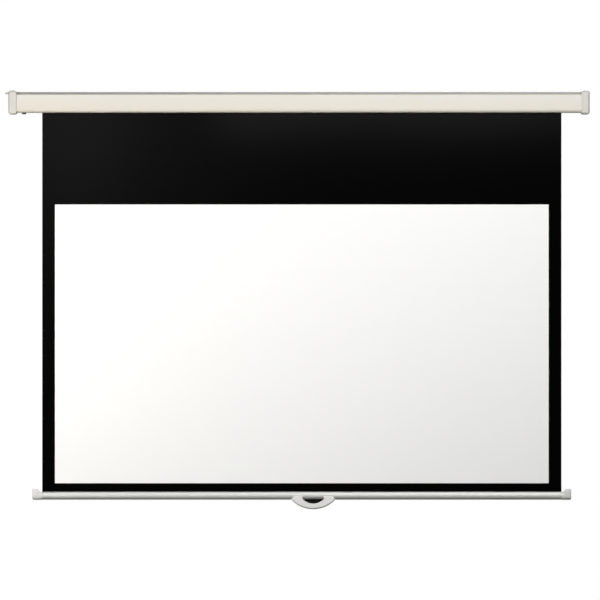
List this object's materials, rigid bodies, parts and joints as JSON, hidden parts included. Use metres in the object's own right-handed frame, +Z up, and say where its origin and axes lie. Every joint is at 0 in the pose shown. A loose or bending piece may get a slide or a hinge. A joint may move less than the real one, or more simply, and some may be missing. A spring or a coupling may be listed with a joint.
{
  "type": "pull down projector screen",
  "caption": "Wall-hung spring roller projector screen: long casing, masked white sheet on a roller, weighted pull bar with a crescent handle.",
  "frame": {"origin": "on the wall plane, halfway along the casing, level with the top of the hanging rail", "axes": "+X along the casing to the viewer's right, +Y into the wall, +Z up"},
  "size_m": [2.198, 0.093, 1.5757],
  "materials": {
    "casing_enamel": "satin off-white powder coat",
    "rail": "grey anodised",
    "end_plastic": "moulded, fine spark texture",
    "zinc": "zinc plated",
    "steel": "drawn, bright",
    "spring_steel": "oiled spring wire",
    "dark_plastic": "moulded",
    "nylon": "moulded",
    "tube": "mill finish",
    "black_fabric": "matt black coating on woven glass cloth",
    "white_screen": "matt white coating on woven glass cloth",
    "bar_metal": "satin anodised",
    "handle_plastic": "moulded, semi-gloss",
    "black_plastic": "moulded"
  },
  "bodies": {
    "case": {"casing": "casing_enamel", "hanging_rail": "rail", "rail_lug_left": "end_plastic", "end_cap_left": "end_plastic", "end_cap_right": "end_plastic", "cap_screw_left_upper": "zinc", "cap_screw_left_lower": "zinc", "cap_screw_right_upper": "zinc", "cap_screw_right_lower": "zinc", "wall_bracket_left": "zinc", "wall_bracket_right": "zinc", "roller_bracket_left": "zinc", "roller_bracket_right": "zinc", "carrier_screw": "dark_plastic", "idle_bush": "nylon", "spear_rod": "steel", "torsion_spring": "spring_steel", "spring_anchor": "zinc", "ratchet": "zinc", "screen_fabric": "black_fabric", "viewing_surface": "white_screen"},
    "roller": {"roller_tube": "tube", "fabric_roll": "black_fabric", "spring_end_plug": "zinc", "spring_end_bush": "nylon", "pawl_pin_a": "steel", "pawl_pin_b": "steel", "idle_end_plug": "nylon", "idle_pin": "steel"},
    "pawl_a": {"pawl_a": "dark_plastic"},
    "pawl_b": {"pawl_b": "dark_plastic"},
    "bar": {"weight_bar": "bar_metal", "fabric_hem": "black_fabric", "hem_rod": "nylon", "ballast_rod": "steel", "bar_cap_left": "end_plastic", "bar_cap_right": "end_plastic", "handle": "handle_plastic", "handle_insert": "black_plastic", "handle_screw_left": "steel", "handle_screw_right": "steel"}
  },
  "joints": [
    {"name": "screen_travel", "type": "slide", "parent": "case", "child": "bar", "axis": [0, 0, 1], "range_m": [0, 1.4134], "deforming": ["screen_fabric", "viewing_surface"]},
    {"name": "roller_spin", "type": "hinge", "parent": "case", "child": "roller", "pos_m": [0, -0.0475, -0.0433], "axis": [1, 0, 0], "range_deg": [0, 3600]},
    {"name": "pawl_a_swing", "type": "hinge", "parent": "roller", "child": "pawl_a", "pos_m": [-0.9795, -0.0475, -0.0288], "axis": [1, 0, 0], "range_deg": [0, 15]},
    {"name": "pawl_b_swing", "type": "hinge", "parent": "roller", "child": "pawl_b", "pos_m": [-0.9795, -0.0475, -0.0578], "axis": [1, 0, 0], "range_deg": [0, 15]}
  ],
  "couplings": [
    {"joint": "roller_spin", "follows": "screen_travel", "rad_per_m": 44.454}
  ]
}
